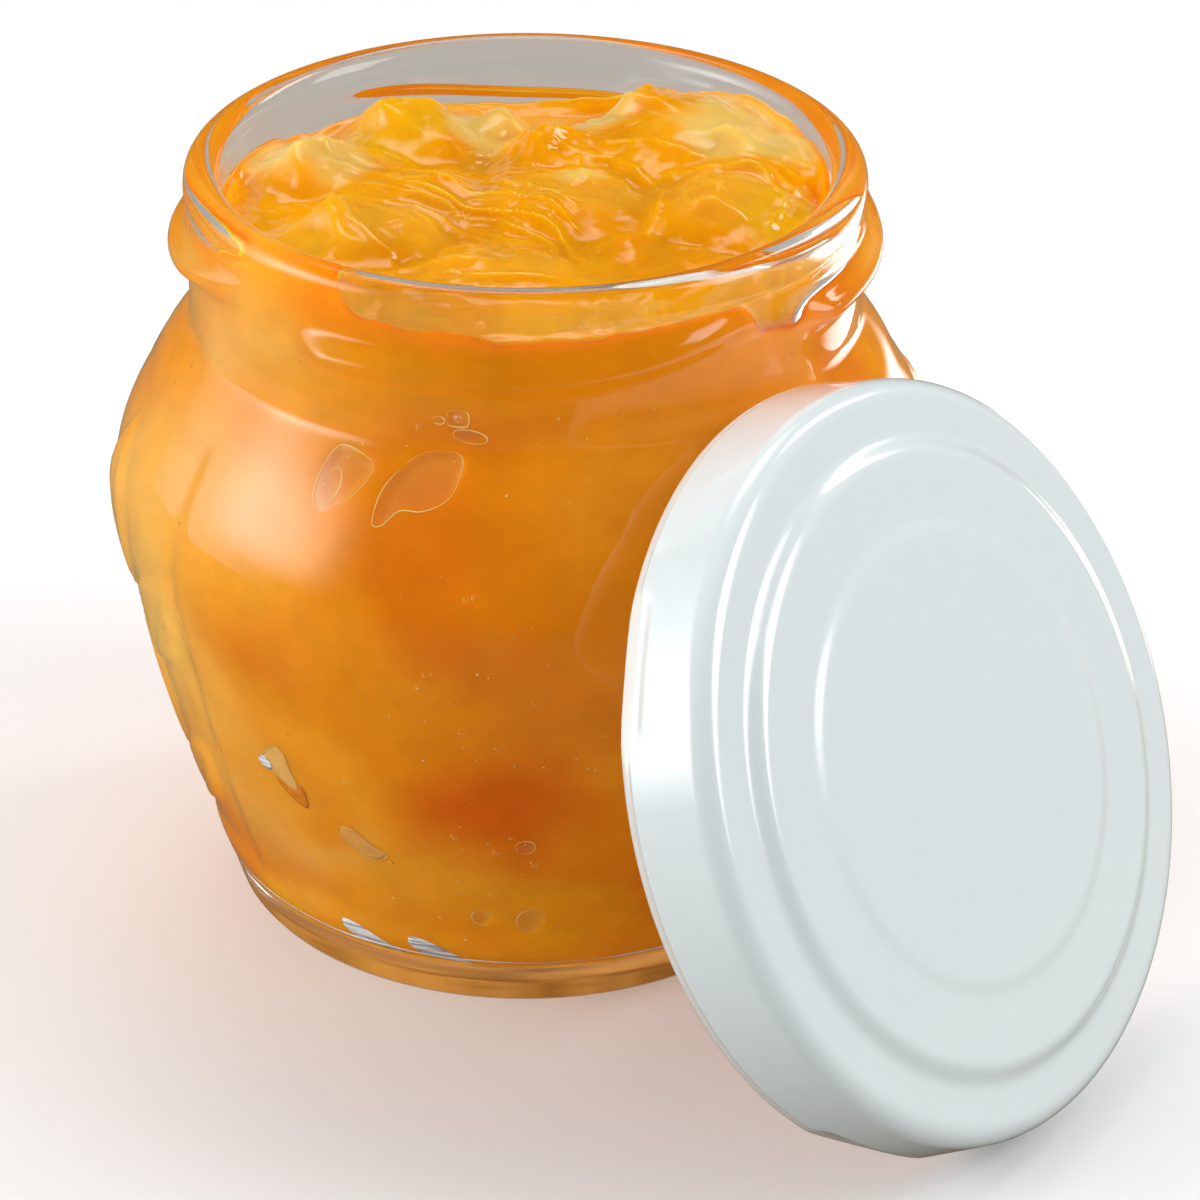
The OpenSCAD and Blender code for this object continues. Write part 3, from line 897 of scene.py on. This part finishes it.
# Radius of the jam's wall by height, for places given in millimetres along it
WALL_RADII = ([5, 12, 24, 41, 52, 57], [23, 27, 31, 34.6, 31, 26.6])


def near_place(bearing, height, flat, depth):
    """Places right of and above one on the jam's wall, as deep in the jam as said."""
    radius = np.interp(height, *WALL_RADII)
    return wall_place(radians(bearing) + flat[:, 0] / radius, height + flat[:, 1], depth)


RIM_R = 0.055
TUBE_R_MIN = 0.02


def make_rims(material):
    """Painted highlights: the bright lines round air pockets and fruit, where the jam meets the glass."""
    parts = []
    outlines = [(bearing, height, places, 0.02) for bearing, height, _, places in AIR_POCKETS]
    outlines += [(*CHIP_TIP, -0.08), (*SLICE, -0.08)]
    for bearing, height, places, depth in outlines:
        path = near_place(bearing, height, closed_spline(places, 8), depth)
        t = np.arange(len(path)) / len(path)
        radii = RIM_R * (0.75 + 0.45 * np.sin(2 * pi * t + height) + 0.25 * np.sin(6 * pi * t))
        parts.append(closed_tube(path, np.maximum(radii, TUBE_R_MIN)))
    return new_object("pocket_rims", *joined(parts), [material])


# Fruit against the glass, and a painted glint on it: bearing as seen, height, outline
CHIP_TIP = (-131.1, 24.2, [
    (-2, 0), (-1.29, 0.96), (-0.43, 1.86), (0.43, 2.31), (1.07, 1.67), (1.29, 0.38),
    (1.79, -1.15), (2, -2.19), (0.86, -1.8), (-0.43, -0.9), (-1.71, -0.64),
])
CHIP_BODY = (-128.7, 21.9, [
    (-1.71, 1.03), (-0.72, 0.65), (0.43, 0.39), (1, 1.03), (1.29, 0.25), (1.22, -1.35),
    (0.14, -1.1), (-1, -0.13),
])
CHIP_GLINT = (-133.5, 24.1, [
    (-0.78, 0), (-0.43, 0.52), (0.07, 0.7), (0.64, 0.13), (0.57, -0.52), (-0.15, -0.65),
])
SLICE = (-117.1, 18.1, [
    (-2.02, 1.04), (-1.27, 1.6), (-0.45, 1.25), (0.39, 0.38), (1.36, -0.37), (2.12, -0.73),
    (1.39, -1.49), (0.3, -1.52), (-0.91, -0.82), (-1.87, 0.02),
])
CHIP_FLESH = (1, 0.46, 0.11)
CHIP_PEEL = (0.8, 0.22, 0.001)
SLICE_FLESH = (1, 0.38, 0.075)
# Clear gaps under the jam at the foot of the wall, coloured with a painted reflection: bearing as seen and
# height
FOOT_GAPS = [(-119.6, 5.9), (-105.8, 5.9), (-40, 5.8), (10, 5.9), (70, 5.8), (150, 5.9)]
FOOT_GAP = [(-2.4, 1.4), (-1.2, 1.3), (0.4, 0.4), (2.4, -1.1), (0.7, -0.9), (-1.2, -0.6), (-2.4, 0.3)]
# The painted highlight round the foot: height, thickness and number of points
FOOT_LINE_Z = 5.3
FOOT_LINE_R = 0.12
FOOT_LINE_POINTS = 360


def flat_piece(bearing, height, places, bulge, rings=7, proud=0.07):
    """A thin piece with the given outline, its face on the glass and its back in the jam."""
    rim = closed_spline(places, 5)
    middle = rim.mean(0)
    shares = np.concatenate([np.linspace(0, 1, rings), np.linspace(1, 0, rings)[1:]])
    front = np.arange(len(shares)) < rings
    rows = []
    for share, is_front in zip(shares, front):
        flat = middle + (rim - middle) * share
        bump = 0 if is_front else 0.05 + bulge * (1 - share ** 2)
        uneven = 0.05 * noise(flat_points(flat[:, 0], flat[:, 1]), 0.9, 81)
        depth = bump - proud + uneven * (share < 1)
        rows.append(near_place(bearing, height, flat, depth))
    return capped_revolve(np.array(rows)[:, ::-1])


# The gaps and the chip's glint share a painted reflection
def make_clear_gaps(material):
    parts = [flat_piece(bearing, height, FOOT_GAP, 0.5) for bearing, height in FOOT_GAPS]
    parts.append(flat_piece(*CHIP_GLINT, 0.2, proud=0.11))
    return new_object("clear_gaps", *joined(parts), [material])


def make_foot_line(material):
    """A painted highlight: the thin bright line round the foot, where the jam's wall turns under."""
    seen = round_turns(FOOT_LINE_POINTS)
    place = xyz(HEEL_R, seen, 0)
    path = wall_place(seen, FOOT_LINE_Z + 0.12 * noise(place, 6, 91), 0.02)
    radii = FOOT_LINE_R * (1 + 0.6 * noise(place, 5, 92))
    return new_object("foot_line", *closed_tube(path, np.maximum(radii, TUBE_R_MIN)), [material])


def make_flat_piece(name, place, bulge, material):
    return new_object(name, *flat_piece(*place, bulge), [material])


BUBBLE_COUNT = 60
BUBBLE_HEIGHTS = (8, 62)
SPECK_COUNT = 760
SPECK_HEIGHTS = (6, 64)
# Larger bubbles: bearing as seen, height, radius
BUBBLES = [
    (-101.6, 58.9, 0.4), (-88.5, 18.2, 0.5), (-101, 21, 0.4), (-99, 33, 0.35), (-94.5, 19.5, 0.4),
    (-97, 45.5, 0.32), (-98.2, 45.3, 0.3), (-103.6, 38.8, 0.28), (-102.6, 38.9, 0.24), (-98.6, 31.4, 0.28),
    (-94, 31.5, 0.3), (-93.4, 31.2, 0.24), (-108.4, 57.8, 0.4), (-92.2, 21.3, 0.32), (-100, 22.4, 0.22),
]


def ball(rows=8, columns=10):
    lat = np.radians(np.linspace(-90, 90, rows))[:, None]
    lon = round_turns(columns)
    return capped_revolve(xyz(np.cos(lat), lon, np.sin(lat)))


def make_balls(name, shape, places, depth, material):
    points, faces = shape
    parts = [(points * size + wall_place(seen, z, depth), faces) for seen, z, size in places]
    return new_object(name, *joined(parts), [material])


def make_bubbles(material):
    rng = np.random.default_rng(71)
    places = [(radians(b), z, r) for b, z, r in BUBBLES]
    for _ in range(BUBBLE_COUNT):
        seen, z = rng.uniform(-pi, pi), rng.uniform(*BUBBLE_HEIGHTS)
        places.append((seen, z, 0.14 + 0.16 * rng.random() ** 2))
    return make_balls("air_bubbles", ball(), places, 0.02, material)


def make_specks(material):
    """Tiny bubbles, drawn as painted bright points of light."""
    rng = np.random.default_rng(73)
    places = []
    for _ in range(SPECK_COUNT):
        size = 0.05 + 0.08 * rng.random() ** 3
        places.append((rng.uniform(-pi, pi), rng.uniform(*SPECK_HEIGHTS), size))
    return make_balls("tiny_bubble_glints", ball(6, 8), places, 0.03, material)


# Materials

BUMP_DISTANCE = 0.0002


def put(node, values):
    """Sets sockets of a node, by name or number."""
    for socket, value in values.items():
        node.inputs[socket].default_value = value


def add(tree, kind, **values):
    node = tree.nodes.new("ShaderNode" + kind)
    for key, value in values.items():
        if key in node.inputs:
            node.inputs[key].default_value = value
        else:
            setattr(node, key, value)
    return node


def link(source, out, target, into):
    """Joins an output of one node to an input of another, each by name or number."""
    source.id_data.links.new(source.outputs[out], target.inputs[into])


def new_material(name):
    """A material, its shader, and the node that gives places on the object."""
    material = bpy.data.materials.new(name)
    material.use_nodes = True
    tree = material.node_tree
    return material, tree.nodes["Principled BSDF"], add(tree, "TexCoord")


def stretched(where, scale):
    mapping = add(where.id_data, "Mapping", Scale=scale)
    link(where, "Object", mapping, "Vector")
    return mapping


def cloud(source, out="Object", **values):
    """Noise at the places that a node gives."""
    texture = add(source.id_data, "TexNoise", **values)
    link(source, out, texture, "Vector")
    return texture


def ranged(source, out, low, high, start, end, **values):
    """A node's output, moved from the range low to high onto the range start to end."""
    level = add(source.id_data, "MapRange", **values)
    put(level, {"From Min": low, "From Max": high, "To Min": start, "To Max": end})
    link(source, out, level, "Value")
    return level


def blended(source, out, first, second):
    """Two colours mixed by a node's output; the first may be such a mix itself."""
    blend = add(source.id_data, "Mix", data_type="RGBA")
    if isinstance(first, bpy.types.Node):
        link(first, 2, blend, 6)
    else:
        blend.inputs[6].default_value = first
    blend.inputs[7].default_value = second
    link(source, out, blend, 0)
    return blend


def mottle(shader, texture, dark, light):
    """Varies a shader's colour between two."""
    link(blended(texture, "Fac", (*dark, 1), (*light, 1)), 2, shader, "Base Color")


def scaled(colour, share):
    return [min(c * share, 1) for c in colour]


def bumped(shader, texture, strength):
    bump = add(texture.id_data, "Bump", Strength=strength, Distance=BUMP_DISTANCE)
    link(texture, "Fac", bump, "Height")
    link(bump, "Normal", shader, "Normal")


def passing_lamps(shader):
    """Lets the light of lamps through to what is behind glass."""
    tree = shader.id_data
    path = add(tree, "LightPath")
    either = add(tree, "Math", operation="MAXIMUM")
    link(path, "Is Shadow Ray", either, 0)
    link(path, "Is Diffuse Ray", either, 1)
    mixer = add(tree, "MixShader")
    link(either, 0, mixer, 0)
    link(shader, 0, mixer, 1)
    link(add(tree, "BsdfTransparent"), 0, mixer, 2)
    link(mixer, 0, tree.nodes["Material Output"], "Surface")


def glass_material():
    """Clear glass with faint smudges."""
    material, shader, where = new_material("clear_jar_glass")
    put(shader, {"Base Color": (0.975, 0.985, 0.98, 1), "Transmission Weight": 1, "IOR": 1.5})
    smudge = cloud(where, Scale=260, Detail=2)
    link(ranged(smudge, "Fac", 0.62, 0.8, 0, 0.05), "Result", shader, "Roughness")
    passing_lamps(shader)
    return material


def bubble_material():
    material, shader, _ = new_material("air_in_jam")
    put(shader, {"Base Color": (1, 1, 1, 1), "Transmission Weight": 1, "IOR": 1 / 1.5, "Roughness": 0})
    passing_lamps(shader)
    return material


def jam_material(name, gloss, roughness, light, glow=0.1, grain_depth=0.12, uneven=False):
    """Jam; glow stands for the light that comes through it from its other side."""
    material, shader, where = new_material(name)
    put(shader, {
        "Emission Color": (*light, 1), "Emission Strength": glow,
        "Subsurface Weight": 1, "Subsurface Radius": (1, 0.6, 0.18), "Subsurface Scale": 0.0035,
        "Roughness": roughness, "Specular IOR Level": gloss, "IOR": 1.42,
    })
    # Painted glow, uneven in streaks, for light coming through the jam
    if uneven:
        streaks = cloud(stretched(where, (130, 130, 40)), "Vector", Scale=1, Detail=3)
        glowing = ranged(streaks, "Fac", 0.35, 0.65, glow * 0.6, glow * 2.2)
        link(glowing, "Result", shader, "Emission Strength")
    pulp = cloud(where, Scale=190, Detail=4, Roughness=0.6)
    tint = add(shader.id_data, "VectorMath", operation="SCALE")
    link(add(shader.id_data, "VertexColor", layer_name="fruit_colour"), "Color", tint, 0)
    link(ranged(pulp, "Fac", 0.3, 0.7, 0.9, 1.08), "Result", tint, "Scale")
    link(tint, "Vector", shader, "Base Color")
    bumped(shader, cloud(where, Scale=900, Detail=3), grain_depth)
    return material


def gap_material():
    """Air under the jam, with a painted reflection of the bright studio in streaks in its colour."""
    material, shader, where = new_material("air_gap_painted_reflection")
    ramp = add(shader.id_data, "ValToRGB")
    dark, light = ramp.color_ramp.elements
    dark.position, dark.color = 0.38, (0.34, 0.35, 0.38, 1)
    light.position, light.color = 0.52, (0.93, 0.94, 0.96, 1)
    link(cloud(stretched(where, (220, 220, 2600)), "Vector", Scale=1, Detail=2), "Fac", ramp, "Fac")
    link(ramp, "Color", shader, "Base Color")
    put(shader, {"Roughness": 0.1})
    return material


def pale_material(name, colour, roughness=0.15):
    """Fruit flesh or peel, or a painted highlight against the glass: a bright meniscus, speck or line."""
    material, shader, where = new_material(name)
    flesh = cloud(where, Scale=900, Detail=3, Distortion=1.2)
    mottle(shader, flesh, scaled(colour, 0.75), scaled(colour, 1.25))
    put(shader, {"Roughness": roughness, "IOR": 1.45})
    return material


def enamel_material(name, colour, coat):
    material, shader, where = new_material(name)
    tone = cloud(where, Scale=420, Detail=5, Roughness=0.7)
    mottle(shader, tone, scaled(colour, 0.975), scaled(colour, 1.02))
    put(shader, {"Roughness": 0.22, "IOR": 1.5, "Coat Weight": coat, "Coat Roughness": 0.04})
    bumped(shader, cloud(where, Scale=700, Detail=2), 0.05)
    return material


def seal_material():
    material, shader, where = new_material("cream_seal")
    grain = cloud(where, Scale=500, Detail=4)
    mottle(shader, grain, (0.7, 0.66, 0.55), (0.82, 0.79, 0.69))
    put(shader, {"Roughness": 0.45})
    bumped(shader, grain, 0.2)
    return material


# Floor, light and camera

FLOOR_HALF = 1500
FLOOR_SEEN = (0.95, 0.95, 0.95, 1)
STUDIO_SEEN = (1, 1, 1, 1)
# What other rays than the camera's own meet: light on its way to the object, rays
# through glass, and reflections
FLOOR_UNSEEN = [(0.47, 0.463, 0.456, 1), (0.43, 0.415, 0.39, 1), (0.22, 0.19, 0.12, 1)]
STUDIO_UNSEEN = [(0.5, 0.51, 0.52, 1), (0.5, 0.49, 0.47, 1), (0.12, 0.105, 0.05, 1)]


def by_ray(path, as_light, in_glass, mirrored):
    """A colour that depends on the kind of ray."""
    unlit = blended(path, "Is Transmission Ray", mirrored, in_glass)
    return blended(path, "Is Diffuse Ray", unlit, as_light)


def make_floor():
    material, shader, _ = new_material("pale_floor")
    path = add(shader.id_data, "LightPath")
    unseen = by_ray(path, *FLOOR_UNSEEN)
    link(blended(path, "Is Camera Ray", unseen, FLOOR_SEEN), 2, shader, "Base Color")
    put(shader, {"Roughness": 0.9, "Specular IOR Level": 0})
    corners = [(x * FLOOR_HALF, y * FLOOR_HALF, 0) for x, y in ((-1, -1), (1, -1), (1, 1), (-1, 1))]
    new_object("floor", corners, [(0, 1, 2, 3)], [material])


def make_world():
    world = bpy.data.worlds.new("studio")
    bpy.context.scene.world = world
    world.use_nodes = True
    tree = world.node_tree
    path = add(tree, "LightPath")
    light = tree.nodes["Background"]
    put(light, {"Strength": 1})
    link(by_ray(path, *STUDIO_UNSEEN), 2, light, "Color")
    seen = add(tree, "Background", Color=STUDIO_SEEN, Strength=1)
    mixer = add(tree, "MixShader")
    link(path, "Is Camera Ray", mixer, 0)
    link(light, 0, mixer, 1)
    link(seen, 0, mixer, 2)
    link(mixer, 0, tree.nodes["World Output"], "Surface")


# Soft boxes: name, bearing as seen, elevation, distance, width, height,
# brightness, and share of the half width over which the light fades out
AIM = Vector((0, 0, 66)) * MM
SOFT_BOXES = [
    ("key_left", -163, 17, 0.62, 0.62, 0.46, 4.9, 0.85),
    ("veil_left", 178, 12, 0.5, 0.6, 0.7, 2.2, 0.9),
    ("fill_right", -14, 30, 0.75, 0.4, 0.6, 4.6, 0.4),
    ("back_right", 30, 38, 0.8, 0.16, 0.5, 7, 0.5),
    ("card_right", 38, -24, 0.15, 0.1, 0.08, 4, 0.5),
    ("overhead", 95, 62, 0.8, 0.7, 0.5, 2.7, 0.8),
]


def fade_edges(lamp, fade):
    """Dims a rectangular lamp towards its edges."""
    lamp.use_nodes = True
    tree = lamp.node_tree
    from_middle = add(tree, "VectorMath", operation="SUBTRACT")
    put(from_middle, {1: (0.5, 0.5, 0)})
    spread = add(tree, "VectorMath", operation="ABSOLUTE")
    split = add(tree, "SeparateXYZ")
    both = add(tree, "Math", operation="MULTIPLY")
    link(add(tree, "NewGeometry"), "Parametric", from_middle, 0)
    link(from_middle, "Vector", spread, 0)
    link(spread, "Vector", split, 0)
    for place, axis in enumerate("XY"):
        level = ranged(split, axis, 0.5 * (1 - fade), 0.5, 1, 0, interpolation_type="SMOOTHSTEP")
        link(level, "Result", both, place)
    link(both, 0, tree.nodes["Emission"], "Strength")


def make_lights():
    for name, bearing, elevation, distance, width, height, brightness, fade in SOFT_BOXES:
        lamp = bpy.data.lights.new(name, "AREA")
        lamp.shape = "RECTANGLE"
        lamp.size, lamp.size_y = width, height
        lamp.energy = brightness * pi * width * height
        fade_edges(lamp, fade)
        box = placed(name, lamp)
        turn = radians(bearing) + VIEW_TURN
        rise = radians(elevation)
        away = Vector((cos(rise) * cos(turn), cos(rise) * sin(turn), sin(rise)))
        box.location = AIM + away * distance
        box.visible_camera = False
        box.rotation_euler = away.to_track_quat("Z", "Y").to_euler()


# The photograph's camera, which takes in the whole jar and lid
CAMERA_PLACE = Vector((-0.2758, -0.2004, 0.2159))
CAMERA_PITCH = radians(27.92)
CAMERA_LENS = 127
CAMERA_SHIFT = (0.062, -0.069)


def make_camera():
    lens = bpy.data.cameras.new("camera")
    lens.sensor_width = 36
    lens.lens = CAMERA_LENS
    lens.shift_x, lens.shift_y = CAMERA_SHIFT
    lens.clip_start = 0.01
    camera = placed("camera", lens)
    camera.location = CAMERA_PLACE
    ahead = pi / 2 + VIEW_TURN
    level = cos(CAMERA_PITCH)
    way = Vector((cos(ahead) * level, sin(ahead) * level, -sin(CAMERA_PITCH)))
    camera.rotation_euler = way.to_track_quat("-Z", "Y").to_euler()
    bpy.context.scene.camera = camera


make_camera()
make_floor()
make_world()
make_lights()

glass = make_glass(glass_material())
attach(glass, "jar")
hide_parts("glass_jar")

jam = make_jam(jam_material("jam_behind_glass", 0.1, 0.35, (0.9, 0.19, 0), 0.2, 0.02),
               jam_material("jam_surface", 0.6, 0.08, (0.8, 0.28, 0)),
               jam_material("jam_underside", 0.1, 0.35, (0.8, 0.38, 0.08), 0.25, uneven=True))
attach(jam, "jar")
fruit_nodes = [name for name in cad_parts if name.startswith("fruit_")]
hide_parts("jam_jelly",
            *[name for name in fruit_nodes if name not in ("fruit_wall_chip", "fruit_wall_slice")])

chip_tip = make_flat_piece("fruit_chip_tip", CHIP_TIP, 0.8, pale_material("chip_flesh", CHIP_FLESH))
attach(chip_tip, "jar")
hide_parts("fruit_wall_chip")
chip_body = make_flat_piece("fruit_chip_body", CHIP_BODY, 0.6, pale_material("chip_peel", CHIP_PEEL))
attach(chip_body, "jar")
fruit_slice = make_flat_piece("fruit_slice", SLICE, 0.6, pale_material("slice_flesh", SLICE_FLESH))
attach(fruit_slice, "jar")
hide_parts("fruit_wall_slice")

# Air gaps and the chip's glint, with a painted reflection
gaps = make_clear_gaps(gap_material())
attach(gaps, "jar")
# A painted highlight round the foot
foot_line = make_foot_line(pale_material("painted_foot_highlight", (1, 0.95, 0.86), 0.05))
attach(foot_line, "jar")
# Painted highlights round the air pockets and fruit
rims = make_rims(pale_material("painted_meniscus_highlight", (0.98, 0.66, 0.24), 0.05))
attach(rims, "jar")
# Painted glints standing in for the tiny bubbles
specks = make_specks(pale_material("speck_of_light", (0.98, 0.76, 0.34), 0.05))
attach(specks, "jar")

bubbles = make_bubbles(bubble_material())
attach(bubbles, "jar")

lid = make_lid(enamel_material("white_enamel", (0.82, 0.895, 0.9), 1),
               enamel_material("pale_lacquer", (0.78, 0.76, 0.7), 0.5))
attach(lid, "lid")
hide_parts("lid_shell")

seal = make_seal(seal_material())
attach(seal, "lid")
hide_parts("lid_seal")

bpy.context.scene.view_settings.view_transform = "Standard"
